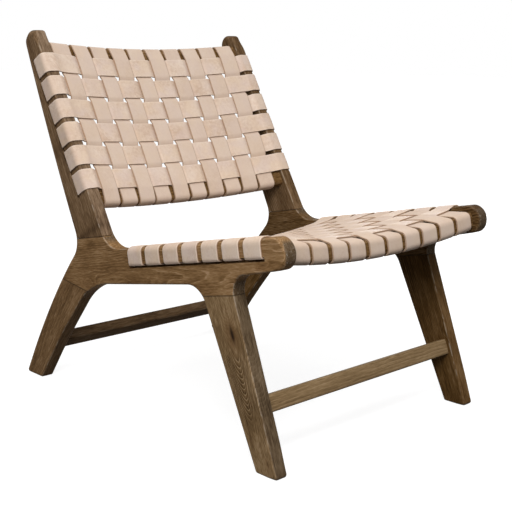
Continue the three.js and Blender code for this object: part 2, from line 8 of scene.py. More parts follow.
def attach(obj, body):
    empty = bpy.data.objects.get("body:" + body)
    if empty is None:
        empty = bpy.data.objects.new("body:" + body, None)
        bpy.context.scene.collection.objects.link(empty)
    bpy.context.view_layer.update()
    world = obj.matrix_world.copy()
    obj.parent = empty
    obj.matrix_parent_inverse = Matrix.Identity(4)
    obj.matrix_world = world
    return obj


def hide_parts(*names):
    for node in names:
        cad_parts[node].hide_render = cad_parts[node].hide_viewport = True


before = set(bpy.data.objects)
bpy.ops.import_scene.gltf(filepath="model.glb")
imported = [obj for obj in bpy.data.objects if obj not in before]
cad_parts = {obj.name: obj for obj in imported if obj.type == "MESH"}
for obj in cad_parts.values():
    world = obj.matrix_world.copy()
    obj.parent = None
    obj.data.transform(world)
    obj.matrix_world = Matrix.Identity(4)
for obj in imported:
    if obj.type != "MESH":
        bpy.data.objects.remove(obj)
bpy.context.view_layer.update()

# Side frames: each is one board, glued up from a back post, a side rail, a front leg and a rear leg with
# loose tenons in the joints. It is sawn to its outline, rounded over along every arris and oiled.

# Sizes are in millimetres and leans in degrees. The side view has the rear to the right, and up is up.
outer_x = 291.5
board_thickness = 29.0
inner_x = outer_x - board_thickness
glue_gap = 0.3
chair_height = 758.0
nose_reach = 406.5
rear_reach = 410.2
seat_tilt = 11.2
back_lean = 30.0
post_rear_lean = 24.2
front_leg_lean = 20.5
rear_leg_lean = -35.6
rail_under_slope = 10.0
post_top_depth = 47.0
waist_height = 323.8
crotch_depth = 70.0
nose_depth = 56.0
front_foot_length = 53.5
rear_foot_length = 61.3


def leaning(degrees):
    """Unit vector of the side view that tips to the rear of upright by an angle."""
    return np.array([np.sin(np.radians(degrees)), np.cos(np.radians(degrees))])


def forward(degrees):
    """Unit vector of the side view that points to the front and climbs by an angle."""
    return np.array([-np.cos(np.radians(degrees)), np.sin(np.radians(degrees))])


def crossing(a, u, b, v):
    """Where the line from a along u meets the line from b along v."""
    gap = b - a
    return a + u * (gap[0] * v[1] - gap[1] * v[0]) / (u[0] * v[1] - u[1] * v[0])


def bow(start, control, end):
    """Points of a quadratic curve, from a sixth of the way along it to five sixths."""
    t = np.linspace(1 / 6, 5 / 6, 17)[:, None]
    return (1 - t) ** 2 * start + 2 * t * (1 - t) * control + t ** 2 * end


level = leaning(90)
upright = leaning(0)
crotch = np.array([89.5, 329.4])
post_top_front = crossing(crotch, leaning(back_lean), np.array([0, chair_height]), level)
post_top_rear = post_top_front + post_top_depth * level
waist = crossing(post_top_rear, leaning(post_rear_lean), np.array([0, waist_height]), level)
post_bow = (post_top_rear + waist) / 2 + 10 * leaning(90 + post_rear_lean)
rear_heel = np.array([rear_reach, 0.0])
rear_toe = np.array([rear_reach - rear_foot_length, 0.0])
rear_leg_bow = crossing(waist, leaning(-42), rear_heel, leaning(-28.4))
under_crotch = crotch - crotch_depth * upright
rear_knee = crossing(rear_toe, leaning(rear_leg_lean), np.array([0, 100.0]), level)
rear_fork = crossing(rear_knee, leaning(-39.3), under_crotch, forward(rail_under_slope))
front_toe = np.array([9.0 - nose_reach, 0.0])
front_heel = front_toe + front_foot_length * level
front_fork = crossing(front_heel, leaning(26.2), under_crotch, forward(rail_under_slope))
nose_top = crossing(crotch, forward(seat_tilt), np.array([-nose_reach, 0.0]), upright)
nose_low = nose_top - nose_depth * upright
nose_fork = crossing(front_toe, leaning(front_leg_lean), nose_low, forward(14.4))

foot_radius = 5.5
side_corners = [
    (rear_heel, foot_radius),
    *[(point, 0.0) for point in bow(rear_heel, rear_leg_bow, waist)],
    (waist, 48.0),
    *[(point, 0.0) for point in bow(waist, post_bow, post_top_rear)],
    (post_top_rear, 20.0),
    (post_top_front, 8.0),
    (crotch, 58.0),
    (nose_top, 28.0),
    (nose_low, 24.0),
    (nose_fork, 32.0),
    (front_toe, foot_radius),
    (front_heel, foot_radius),
    (front_fork, 48.0),
    (rear_fork, 170.0),
    (rear_knee, 1500.0),
    (rear_toe, foot_radius),
]


def unit(vectors):
    """The vectors at a length of one, and the lengths that they had."""
    length = np.linalg.norm(vectors, axis=-1)
    return vectors / length[..., None], length


def rounded(corners):
    """Closed outline with an arc at each corner that has a radius, in steps of about three degrees.

    Arcs that need more than the edge between them shrink in proportion. An arc starts and ends at the
    tangent length from its corner, and its spokes turn from the one end to the other.
    """
    points = np.array([point for point, _ in corners])
    radii = np.array([radius for _, radius in corners])
    before, before_length = unit(np.roll(points, 1, axis=0) - points)
    after, after_length = unit(np.roll(points, -1, axis=0) - points)
    half = np.arccos(np.clip(np.sum(before * after, axis=1), -1, 1)) / 2
    wanted = radii / np.tan(half)
    least = 1e-6
    share_before = before_length / np.maximum(wanted + np.roll(wanted, 1), least)
    share_after = after_length / np.maximum(wanted + np.roll(wanted, -1), least)
    tangent = wanted * np.minimum(1, np.minimum(share_before, share_after))
    outline = []
    for i, point in enumerate(points):
        if radii[i] == 0:
            outline.append(point[None])
            continue
        start = before[i] * tangent[i]
        end = after[i] * tangent[i]
        centre = (start + end) / (2 * np.cos(half[i]) ** 2)
        turn = -np.sign(before[i][0] * after[i][1] - before[i][1] * after[i][0])
        sweep = turn * (np.pi - 2 * half[i])
        angle = np.linspace(0, sweep, max(3, int(np.ceil(abs(sweep) / np.radians(3)))))[:, None]
        spoke = start - centre
        across = np.array([-spoke[1], spoke[0]])
        outline.append(point + centre + spoke * np.cos(angle) + across * np.sin(angle))
    return np.vstack(outline)


def densely(outline, step):
    """The same closed outline with points added, so that no edge is much longer than the step."""
    closed = np.vstack([outline, outline[:1]])
    length = np.linalg.norm(np.diff(closed, axis=0), axis=1)
    shares = np.maximum(1, np.round(length / step)).astype(int)
    place = np.concatenate([i + np.arange(count) / count for i, count in enumerate(shares)])
    knots = np.arange(len(closed))
    return np.stack([np.interp(place, knots, closed[:, axis]) for axis in (0, 1)], axis=1)


def parted(outline, glued, distance):
    """The run of a closed outline at positive distance from a line, closed by a glued edge on the line."""
    inside = distance > 0
    start = np.flatnonzero(inside & ~np.roll(inside, 1))[0]
    order = (start + np.arange(len(outline))) % len(outline)
    outline = outline[order]
    glued = glued[order]
    distance = distance[order]
    count = int(inside.sum())
    first_share = distance[0] / (distance[0] - distance[-1])
    first = outline[0] + (outline[-1] - outline[0]) * first_share
    last_share = distance[count - 1] / (distance[count - 1] - distance[count])
    last = outline[count - 1] + (outline[count] - outline[count - 1]) * last_share
    run = np.vstack([first, outline[:count], last])
    return run, np.concatenate([[False], glued[:count], [True]])


seat_up = leaning(seat_tilt)
post_joint_rise = 28.0
front_joint_drop = 95.0
rear_joint_height = 231.0
# Glue joints: a point on each, and its direction out of the side rail.
joints = {
    "back_post": (crotch + post_joint_rise * seat_up, seat_up),
    "front_leg": (crotch - front_joint_drop * seat_up, -seat_up),
    "rear_leg": (np.array([rear_fork[0], rear_joint_height]), -leaning(-7)),
}


def beyond(joint, outline):
    """Distance of the outline's points past a joint, on that joint's own half of the chair."""
    anchor, outward = joints[joint]
    past = (outline - anchor) @ outward
    other_half = outline[:, 0] > 0 if joint == "front_leg" else outline[:, 0] < 0
    never_past = -1000.0
    return np.where(other_half, never_past, past)


outline_step = 5.0
blank = densely(rounded(side_corners), outline_step)
no_glue = np.zeros(len(blank), dtype=bool)
side_outlines = {
    joint: parted(blank, no_glue, beyond(joint, blank) - glue_gap / 2) for joint in joints
}
side_rail = (blank, no_glue)
for joint in joints:
    side_rail = parted(*side_rail, -glue_gap / 2 - beyond(joint, side_rail[0]))
side_outlines["side_rail"] = side_rail

# The weave panels are needed here for the slots that take the ends of the straps and for the softer
# arris under them: place along a panel, and height over its line.
first_strap_setback = 59.5
seat_origin = nose_top - first_strap_setback * forward(seat_tilt)
panel_axes = {
    "seat": (seat_origin, -forward(seat_tilt), seat_up),
    "back": (crotch, leaning(back_lean), -leaning(90 + back_lean)),
}
strap_runs = {"seat": (0.0, 375.5), "back": (132.5, 441.5)}
# How far the right ends of the cross straps lie further along than their left ends.
row_skews = {"seat": 12.0, "back": 0.0}
slot_top = -31.0
slot_width = 8.0
slot_depth = 14.0
slot_overrun = 3.0
# Radius of the arris under the straps, on the outer face and on the inner one.
strap_arris = {"seat": (9.0, 12.0), "back": (6.5, 3.5)}


def ramp(value, low, high):
    """Rises smoothly from 0 at low to 1 at high."""
    t = np.clip((value - low) / (high - low), 0, 1)
    return t * t * (3 - 2 * t)


def arris_radius(outline, face, side):
    """Radius of the rounded-over arris, which grows at the nose, under the straps and on the post's top.

    The face is 0 for the outer one and 1 for the inner one, and the side is 0 for the left frame.
    """
    usual = 3.4
    nose_growth = 3.0
    top_growth = (9.0, 3.5)[face]
    radius = usual + top_growth * ramp(outline[:, 1], chair_height - 34, chair_height - 5)
    radius = radius + nose_growth * ramp(-outline[:, 0], nose_reach - 34.5, nose_reach - 8.5)
    for panel, (low, high) in strap_runs.items():
        origin, along, off = panel_axes[panel]
        place = (outline - origin) @ along - row_skews[panel] * side
        height = (outline - origin) @ off
        under = ramp(place, low - 5, low + 1) * (1 - ramp(place, high - 1, high + 5)) * (np.abs(height) < 2)
        radius = np.maximum(radius, usual + (strap_arris[panel][face] - usual) * under)
    return radius


def inward_shifts(outline, glued):
    """Vector at each point of a closed outline that shifts its free edges inward by one.

    Away from the glue joints it lies on the mitre of the two edges. At a joint it lies along the joint,
    and it eases from there to the mitre in proportion to the way walked along the outline.
    """
    edge, length = unit(np.roll(outline, -1, axis=0) - outline)
    inward = np.stack([-edge[:, 1], edge[:, 0]], axis=1)
    before = np.roll(inward, 1, axis=0)
    shift = (before + inward) / (1 + np.sum(before * inward, axis=1, keepdims=True))
    count = len(outline)
    ease = 14.0
    for i in np.flatnonzero(glued):
        for corner, step, along in ((i, -1, edge[i]), ((i + 1) % count, 1, -edge[i])):
            free = inward[corner - 1] if step < 0 else inward[corner]
            run = edge[corner - 1] if step < 0 else edge[corner]
            on_joint = along / (along @ free)
            slide = on_joint @ run
            shift[corner] = on_joint
            order = (corner + step * np.arange(1, count)) % count
            walked = np.cumsum(length[order if step < 0 else order - 1])
            near = walked <= ease
            shift[order[near]] += slide * (1 - walked[near, None] / ease) * run
    return shift


millimetre = 0.001
sharp_angle = np.radians(40)


def put_together(name, points, faces, attributes, material, nodes):
    """Makes a closed mesh piece from points in millimetres and lets it stand for the named nodes."""
    mesh = bpy.data.meshes.new(name)
    mesh.from_pydata((points * millimetre).tolist(), [], faces)
    for key, values in attributes.items():
        layer = mesh.attributes.new(key, "FLOAT", "POINT")
        layer.data.foreach_set("value", np.asarray(values, dtype=np.float32))
    work = bmesh.new()
    work.from_mesh(mesh)
    bmesh.ops.recalc_face_normals(work, faces=work.faces)
    work.to_mesh(mesh)
    work.free()
    mesh.polygons.foreach_set("use_smooth", np.ones(len(mesh.polygons), dtype=bool))
    mesh.set_sharp_from_angle(angle=sharp_angle)
    mesh.materials.append(material)
    piece = bpy.data.objects.new(name, mesh)
    bpy.context.scene.collection.objects.link(piece)
    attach(piece, "root")
    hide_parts(*nodes)


def banded(rings, size):
    """Quads between neighbouring closed rings of the same size, numbered ring by ring."""
    k = np.arange(rings - 1)[:, None]
    j = np.arange(size)[None, :]
    a = k * size + j
    b = k * size + (j + 1) % size
    return np.stack([a, b, b + size, a + size], axis=-1).reshape(-1, 4).tolist()


def flat_loop(ring):
    """A ring of points as a loop of the side view that can be filled."""
    return [Vector((y, z, 0)) for _, y, z in ring]


def board(outline, glued, slot, side):
    """A board with rounded arrises: its outline swept through the board's thickness.

    From the outer face the outline starts inset by the arris radius, follows a quarter circle out to the
    full outline, runs straight through and mirrors itself on the inner face. Both faces are flat, and
    the outer one has the slot cut into it. x is the depth from the outer face. The side is 0 for the
    left frame and 1 for the right one.
    """
    shift = inward_shifts(outline, glued)
    angles = np.radians(np.linspace(0, 90, 7))
    flat_rim = 0.8
    outer_radius = arris_radius(outline, 0, side)
    inner_radius = arris_radius(outline, 1, side)
    count = len(outline)
    rings = []
    arris = []
    for radius, face, inward in ((outer_radius, 0.0, 1), (inner_radius, board_thickness, -1)):
        # The arris value peaks at the middle of each rounded arris, where the wood is worn pale and gets a
        # painted highlight.
        bands = [(radius + flat_rim, radius * 0, 0.0)]
        bands += [(radius * (1 - np.sin(a)), radius * (1 - np.cos(a)), np.sin(2 * a)) for a in angles]
        for inset, depth, wear_and_sheen in bands[::inward]:
            rings.append(np.column_stack([face + inward * depth, outline + shift * inset[:, None]]))
            arris.append(wear_and_sheen * outer_radius.min() / radius)
    points = np.vstack(rings)
    wall = [0.0, *np.sin(angles)]
    wall = wall + wall[::-1]
    edge, _ = unit(np.roll(outline, -1, axis=0) - np.roll(outline, 1, axis=0))
    attributes = {
        "arris": np.concatenate(arris),
        "facing_y": np.outer(wall, edge[:, 1]).ravel(),
        "facing_z": np.outer(wall, -edge[:, 0]).ravel(),
    }
    faces = banded(len(rings), count)
    loops = [flat_loop(rings[0])]
    numbers = list(range(count))
    if slot is not None:
        first = len(points)
        mouth = np.column_stack([np.zeros(4), slot])
        floor = np.column_stack([np.full(4, slot_depth), slot])
        points = np.vstack([points, mouth, floor])
        faces += [[first + k for k in face] for face in banded(2, 4)]
        faces.append([first + 4, first + 5, first + 6, first + 7])
        loops.append(flat_loop(mouth))
        numbers += list(range(first, first + 4))
        attributes = {key: np.append(values, np.zeros(8)) for key, values in attributes.items()}
    faces += [[numbers[k] for k in triangle] for triangle in tessellate_polygon(loops)]
    last = (len(rings) - 1) * count
    faces += [[last + k for k in triangle] for triangle in tessellate_polygon([flat_loop(rings[-1])])]
    return points, faces, attributes


class Paint:
    """A socket in a material's nodes. Arithmetic on it adds Math nodes to the same material."""

    def __init__(self, tree, socket=None):
        self.tree = tree
        self.socket = socket

    def node(self, kind, settings=None, inputs=None, output=0):
        """Adds a node: first its own settings, then values or links for its sockets."""
        made = self.tree.nodes.new(kind)
        for key, value in (settings or {}).items():
            if key == "stops":
                elements = made.color_ramp.elements
                while len(elements) < len(value):
                    elements.new(0.5)
                for element, (place, colour) in zip(elements, value):
                    element.position = place
                    element.color = (*colour, 1)
            else:
                setattr(made, key, value)
        for key, value in (inputs or {}).items():
            socket = self.pick(made.inputs, key)
            if isinstance(value, Paint):
                self.tree.links.new(value.socket, socket)
            else:
                socket.default_value = value
        return Paint(self.tree, self.pick(made.outputs, output))

    @staticmethod
    def pick(sockets, key):
        """A socket by its number, its identifier or its name."""
        if isinstance(key, int):
            return sockets[key]
        named = [socket for socket in sockets if socket.identifier == key]
        return named[0] if named else sockets[key]

    def math(self, operation, *others):
        """Adds a Math node that works on this value and the others."""
        return self.node("ShaderNodeMath", {"operation": operation}, dict(enumerate((self, *others))))

    def __add__(self, other):
        return self.math("ADD", other)

    __radd__ = __add__

    def __mul__(self, other):
        return self.math("MULTIPLY", other)

    __rmul__ = __mul__

    def __sub__(self, other):
        return self.math("SUBTRACT", other)

    def __rsub__(self, other):
        return self.node("ShaderNodeMath", {"operation": "SUBTRACT"}, {0: other, 1: self})

    def __pow__(self, other):
        return self.math("POWER", other)

    def rise(self, low, high):
        """Climbs smoothly from 0 at low to 1 at high."""
        limits = {"Value": self, "From Min": low, "From Max": high}
        return self.node("ShaderNodeMapRange", {"interpolation_type": "SMOOTHSTEP"}, limits)

    def along(self, direction):
        """Part of a vector that lies along a direction."""
        values = {0: self, 1: tuple(direction)}
        return self.node("ShaderNodeVectorMath", {"operation": "DOT_PRODUCT"}, values, "Value")

    def noise(self, a, b, c, detail=2.0, rough=0.5):
        """Smooth noise, about 0.5 on average, at a place given by three values."""
        place = self.node("ShaderNodeCombineXYZ", None, {0: a, 1: b, 2: c})
        return self.node("ShaderNodeTexNoise", None,
                         {"Vector": place, "Scale": 1.0, "Detail": detail, "Roughness": rough})

    def blend(self, first, second):
        """Goes from the first colour to the second with this value."""
        return self.node("ShaderNodeMix", {"data_type": "RGBA"},
                         {"Factor_Float": self, "A_Color": first, "B_Color": second}, "Result_Color")

    def attribute(self, name):
        """Value that the mesh holds under a name."""
        return self.node("ShaderNodeAttribute", {"attribute_name": name}, output="Fac")

    def feed(self, shader, name):
        """Links this socket to an input of a shader."""
        self.tree.links.new(self.socket, shader.inputs[name])

    def emboss(self, shader, strength, distance):
        """Takes this value as the height of a fine relief, by a Bump node on the shader's normal."""
        values = {"Strength": strength, "Distance": distance, "Height": self}
        self.node("ShaderNodeBump", None, values).feed(shader, "Normal")


def new_paint(name):
    """An empty material with its own nodes, and its principled shader."""
    material = bpy.data.materials.new(name)
    material.use_nodes = True
    shader = material.node_tree.nodes["Principled BSDF"]
    return material, Paint(material.node_tree), shader


def timber(name, axes, heart, shade, warmth, hue=0.497, rings=0.5, squeeze=1.0, taper=0.0, figure=None,
           edges=(1.0, 1.0), contrast=1.0, knots=(), blotches=(), glue=()):
    """Oiled, weathered wood sawn from a log.

    The growth rings are ellipses round the heart of the log, flatter with more squeeze. The heart leans
    to the piece and wanders, and the log may taper along the grain, so faces show stripes, arches or
    pointed arches, and ends show arcs. The figure is the stretch along the grain where they stand out,
    and edges gives how bright and colourful the board's edges are; where it darkens them it is partly
    painted shade, and where it brightens them it is painted light. A knot pushes the rings outward round
    itself, reddens the wood and has a dark core, and a blotch makes the wood paler or darker round a
    place, and on the right front leg paints the seat's shadow. Streaks, flecks and stains are noise drawn
    out along the grain, with more or less contrast.
    Ends of the grain are greyer, scratched and speckled, arrises are rubbed pale and carry a painted
    highlight, and a dark line marks each joint.
    """
    material, paint, shader = new_paint(name)
    grain, across, depth = axes
    place = paint.node("ShaderNodeTexCoord", output="Object")
    place = place.node("ShaderNodeVectorMath", {"operation": "SCALE"}, {0: place, "Scale": 1 / millimetre})
    # Millimetres along the grain, across it and into the wood, and a number that moves the piece's noise.
    a = place.along(grain)
    c = place.along(across)
    d = place.along(depth)
    own = shade * 17 + warmth * 31
    ring_width = 4.0

    def drawn_out(across_scale, along_scale, seed, detail=2.0, rough=0.5):
        """Noise with one scale along the grain and another one across it."""
        return paint.noise(c * across_scale, d * across_scale, a * along_scale + seed, detail, rough)

    def spot(y, z, width, length):
        """1 at a place of the side view, falling off as a bell across and along the grain."""
        sideways = (c - float(np.dot(across, (0, y, z)))) * (1 / width)
        lengthways = (a - float(np.dot(grain, (0, y, z)))) * (1 / length)
        return (0 - (sideways * sideways + lengthways * lengthways)).math("EXPONENT")

    wander = drawn_out(0.012, 0.005, own) - 0.5
    quiver = drawn_out(0.05, 0.016, own) - 0.5
    off_c = (c - heart[0] - a * heart[2] + wander * 20) * squeeze
    off_d = d - heart[1] - a * heart[3] + wander * 10
    reach = (off_c * off_c + off_d * off_d).math("SQRT") + quiver * 6
    if taper:
        reach = reach - a * taper
    streak = drawn_out(0.20, 0.010, own, 3.0, 0.6)
    fleck = drawn_out(0.36, 0.024, own, 3.0, 0.65)
    fibre = drawn_out(0.70, 0.070, own, 2.0, 0.6)
    patch = drawn_out(0.030, 0.011, own * 2, 3.0, 0.55)
    stain = drawn_out(0.06, 0.008, own * 5).rise(0.57, 0.72)
    tone = (streak - 0.5) * 0.42 + (fleck - 0.5) * 0.66 + (fibre - 0.5) * 0.80
    tone = 0.52 + (tone + (patch - 0.5) * 0.66 - stain * 0.08) * contrast
    red = paint.node("ShaderNodeValue")
    core = paint.node("ShaderNodeValue")
    for y, z, size, dark in knots:
        reach = reach + spot(y, z, size, 2.2 * size) * size
        red = red + spot(y, z, size, 2.4 * size) * dark
        core = core + spot(y, z, 0.34 * size, 1.1 * size) * (fleck * 2 - 0.1) * dark
    for y, z, width, length, change in blotches:
        tone = tone + spot(y, z, width, length) * change
    if figure is None:
        shows = drawn_out(0.02, 0.006, own * 3, 1.0).rise(0.36, 0.60)
    else:
        shows = a.rise(figure[0] - 25, figure[0] + 10) * (1 - a.rise(figure[1] - 10, figure[1] + 25))
    facing_y = paint.attribute("facing_y")
    facing_z = paint.attribute("facing_z")
    edge = (facing_y * across[1] + facing_z * across[2]).math("ABSOLUTE").rise(0.5, 1.0)
    shows = shows * (1 - edge * 0.8)
    plain = 0.04 - edge * 0.03
    ring = (reach * (1 / ring_width)).math("FRACT")
    late = ring.rise(0.30, 0.85) * (1 - ring.rise(0.88, 1.0))
    early = 1 - ring.rise(0.03, 0.25)
    tone = tone - late * (plain + shows * 0.08) * rings + early * shows * (0.19 * rings)
    colour = tone.node("ShaderNodeValToRGB", {"stops": [
        (0.12, (0.036, 0.019, 0.008)),
        (0.35, (0.092, 0.053, 0.024)),
        (0.50, (0.146, 0.088, 0.042)),
        (0.65, (0.203, 0.129, 0.067)),
        (0.88, (0.310, 0.213, 0.130)),
    ]}, {"Fac": tone})
    knot_red = (0.115, 0.052, 0.020, 1)
    knot_core = (0.016, 0.008, 0.004, 1)
    colour = core.blend((red * 0.4).blend(colour, knot_red), knot_core)
    colour = paint.node("ShaderNodeHueSaturation", None,
                        {"Hue": hue, "Value": shade - edge * (shade * (1 - edges[0])),
                         "Saturation": warmth - edge * (warmth * (1 - edges[1])), "Color": colour})
    arris = paint.attribute("arris")
    end = (facing_y * grain[1] + facing_z * grain[2]).math("ABSOLUTE").rise(0.55, 0.85)
    scratch = paint.noise(c * 0.07, d * 0.45, a * 0.07, 3.0, 0.6).rise(0.48, 0.66)
    speck = drawn_out(0.30, 0.30, 0.0, 4.0, 0.75).rise(0.56, 0.66)
    end_dark = (0.072, 0.048, 0.028, 1)
    end_scratch = (0.20, 0.155, 0.105, 1)
    end_speck = (0.46, 0.41, 0.34, 1)
    end_colour = (scratch * 0.5).blend(end_dark, end_scratch)
    end_colour = (speck * (0.45 + arris * 0.9)).blend(end_colour, end_speck)
    colour = (end * 0.85).blend(colour, end_colour)
    # The arrises are rubbed pale, partly by wear and partly as a painted highlight, broken up by noise.
    rub_and_glint = drawn_out(0.10, 0.05, 0.0, 3.0, 0.65).rise(0.42, 0.60)
    rubbed_pale_and_highlight = (0.40, 0.33, 0.25, 1)
    colour = (arris ** 3 * (0.06 + rub_and_glint * 0.55)).blend(colour, rubbed_pale_and_highlight)
    glue_dark = (0.022, 0.013, 0.007, 1)
    for anchor, outward in glue:
        gap = (place.along((0, *outward)) - float(np.dot(anchor, outward))).math("ABSOLUTE")
        colour = ((1 - gap.rise(0.3, 1.7)) * 0.75).blend(colour, glue_dark)
    colour.feed(shader, "Base Color")
    (0.68 + (fleck - 0.5) * 0.3 - arris * 0.08).feed(shader, "Roughness")
    (fleck * 0.5 + fibre * 0.4 - late * 0.2).emboss(shader, 0.35, 0.0005)
    shader.inputs["Specular IOR Level"].default_value = 0.05
    return material


grain_leans = {
    "back_post": leaning(27.4),
    "side_rail": forward(10.6),
    "front_leg": leaning(22.7),
    "rear_leg": leaning(-37.0),
}
# Where the heart of the log lies: across the grain from the piece's middle, in depth behind its outer
# face, and how much it moves in each of these per millimetre along the grain.
hearts = {
    "back_post": (70.0, 80.0, 0.03, 0.02),
    "side_rail": (-25.0, 45.0, 0.05, 0.05),
    "front_leg": (-2.0, 9.5, -0.06, 0.0),
    "rear_leg": (35.0, 60.0, 0.06, 0.03),
    "right_front_leg": (60.0, 50.0, 0.03, 0.03),
}
# The look of each piece: its brightness and colourfulness, and what else differs from the usual timber.
# The right-hand pieces are darker partly as painted shade, for the seat's shade on their inner faces. The
# darker edges of the left rear leg are painted shade and those of the left front leg partly so, and the
# brighter edges of the right front leg are painted light.
side_looks = {
    "left_back_post": {"shade": 1.22, "warmth": 0.98, "rings": 0.5, "edges": (0.98, 0.88)},
    "left_side_rail": {"shade": 1.56, "warmth": 1.08, "rings": 0.8, "contrast": 0.85},
    "left_front_leg": {"shade": 1.47, "warmth": 0.99, "hue": 0.504, "rings": 1.7, "squeeze": 1.15,
                       "taper": 0.42, "figure": (-30.0, 70.0), "edges": (0.54, 0.90)},
    "left_rear_leg": {"shade": 1.30, "warmth": 1.06, "rings": 0.6, "edges": (0.72, 1.0)},
    "right_back_post": {"shade": 0.94, "warmth": 1.02, "rings": 0.8},
    "right_side_rail": {"shade": 0.78, "warmth": 1.14, "rings": 1.2, "contrast": 1.2},
    "right_front_leg": {"shade": 0.76, "warmth": 1.18, "rings": 1.2, "edges": (1.15, 0.97)},
    "right_rear_leg": {"shade": 0.84, "warmth": 1.20, "rings": 0.6},
}
# Knots: place in the side view, size and darkness.
side_knots = {
    "left_front_leg": [(-281.0, 236.0, 13.0, 1.40), (-374.0, 25.0, 4.5, 0.8), (-331.0, 60.0, 5.0, 0.6)],
    "left_side_rail": [(157.0, 247.0, 17.0, 0.15), (-355.0, 372.0, 6.0, 0.5), (-345.0, 365.0, 4.0, 0.4),
                       (149.0, 236.0, 4.0, 0.5)],
    "left_rear_leg": [(246.0, 222.0, 9.0, 0.3)],
    "right_front_leg": [(-330.0, 150.0, 9.0, 0.4)],
}
# Blotches: place in the side view, width across and length along the grain, change of tone.
side_blotches = {
    "left_back_post": [(160.0, 352.0, 60.0, 7.0, -0.20)],
    "left_side_rail": [(-330.0, 370.0, 90.0, 170.0, 0.07), (184.0, 332.0, 12.0, 14.0, 0.14),
                       (149.0, 334.0, 10.0, 12.0, -0.14)],
    "left_front_leg": [(-370.0, 20.0, 70.0, 26.0, 0.08), (-335.0, 105.0, 40.0, 50.0, -0.09),
                       (-290.0, 205.0, 50.0, 50.0, 0.05)],
    "right_side_rail": [(-385.0, 400.0, 60.0, 60.0, -0.12)],
    # Painted shadow of the seat on the top of the right front leg's inner face.
    "right_front_leg": [(-285.0, 285.0, 60.0, 50.0, -0.12)],
}
slots = {"side_rail": "seat", "back_post": "back"}

for part, (outline, glued) in side_outlines.items():
    lean = grain_leans[part]
    axes = (np.array([0, *lean]), np.array([0, lean[1], -lean[0]]), np.array([1, 0, 0]))
    middle = np.array([0, *outline.mean(axis=0)])
    glue = joints.values() if part == "side_rail" else [joints[part]]
    for number, (side, sign) in enumerate((("left", -1), ("right", 1))):
        piece = f"{side}_{part}"
        heart = hearts.get(piece, hearts[part])
        slot = None
        if part in slots:
            panel = slots[part]
            origin, along, off = panel_axes[panel]
            low, high = np.array(strap_runs[panel]) + row_skews[panel] * number
            places = [low - slot_overrun, high + slot_overrun]
            heights = [slot_top, slot_top - slot_width]
            corners = [(0, 0), (1, 0), (1, 1), (0, 1)]
            slot = np.array([origin + along * places[i] + off * heights[j] for i, j in corners])
        placed, faces, attributes = board(outline, glued, slot, number)
        placed[:, 0] = sign * (outer_x - placed[:, 0])
        centre_c = float(middle @ axes[1]) - heart[2] * float(middle @ axes[0]) + heart[0]
        centre_d = sign * (outer_x - heart[1]) + sign * heart[3] * float(middle @ axes[0])
        centre = (centre_c, centre_d, heart[2], -sign * heart[3])
        material = timber(f"{piece}_wood", axes, centre, knots=side_knots.get(piece, []),
                          blotches=side_blotches.get(piece, []), glue=glue, **side_looks[piece])
        put_together(f"{piece}_board", placed, faces, attributes, material, [piece])

# The loose tenons are hidden in the joints, and their own nodes take the wood.
upright_axes = ((0, 0, 1), (0, 1, 0), (1, 0, 0))
tenon_wood = timber("tenon_wood", upright_axes, (60.0, 40.0, 0.02, 0.02), 1.0, 1.0)
for side in ("left", "right"):
    for joint in ("post", "front_leg", "rear_leg"):
        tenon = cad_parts[f"{side}_{joint}_tenon"]
        tenon.data.materials.clear()
        tenon.data.materials.append(tenon_wood)

# Cross rails and stretchers: four bowed rails carry the lengthwise straps, each with a groove in its hidden
# face for the strap ends, and two straight stretchers brace the legs. All are of the same oiled wood,
# tenoned into the side frames and glued.

rail_radius = 8.0
level_axes = ((1, 0, 0), (0, 1, 0), (0, 0, 1))


def sag(x):
    """1 at the middle of the chair, falling as a parabola to 0 at the side frames."""
    return np.maximum(0, 1 - (x / inner_x) ** 2)


# The two weave panels. Drops are measured down from the panel's line. The rails at the ends have their
# faces given as places along the panel, a bow away from its line, an arch towards the weave, and the slack
# that the lengthwise straps crowd by there.
panels = {
    "seat": {
        "rows": 7, "columns": 10, "row_width": 43.5, "column_width": 45.0,
        "side_gap": 5.0, "edge_drop": 7.0, "middle_rise": 6.0, "rail_drop": 14.0, "rail_depth": 33.0,
        "ends": [
            {"name": "front_seat_rail",
             "outer": -35.5, "inner": -11.5, "bow": 19.0, "arch": 14.0, "slack": 2.0},
            {"name": "rear_seat_rail",
             "outer": 423.0, "inner": 399.0, "bow": 19.0, "arch": 0.0, "slack": 2.0},
        ],
    },
    "back": {
        "rows": 6, "columns": 10, "row_width": 44.0, "column_width": 44.0,
        "side_gap": 10.0, "edge_drop": 4.0, "middle_rise": 0.0, "rail_drop": 8.0, "rail_depth": 24.0,
        "ends": [
            {"name": "lower_back_rail",
             "outer": 101.5, "inner": 139.5, "bow": 25.0, "arch": 0.0, "slack": 12.0},
            {"name": "top_back_rail",
             "outer": 472.5, "inner": 434.5, "bow": 25.0, "arch": 0.0, "slack": -3.5},
        ],
    },
}


def in_chair(panel, x, place, height):
    """Points of the chair from x across it, the place along a panel and the height over its line."""
    origin, along, off = panel_axes[panel]
    y = origin[0] + place * along[0] + height * off[0]
    z = origin[1] + place * along[1] + height * off[1]
    return np.stack(np.broadcast_arrays(x, y, z), axis=-1)


def rail_top(panel, rail, x):
    """Height of a rail's face over the panel's line."""
    return -panels[panel]["rail_drop"] - rail["bow"] * sag(x)


def rail_shift(rail, x):
    """How far a rail is arched towards the weave."""
    return np.sign(rail["inner"] - rail["outer"]) * rail["arch"] * sag(x)


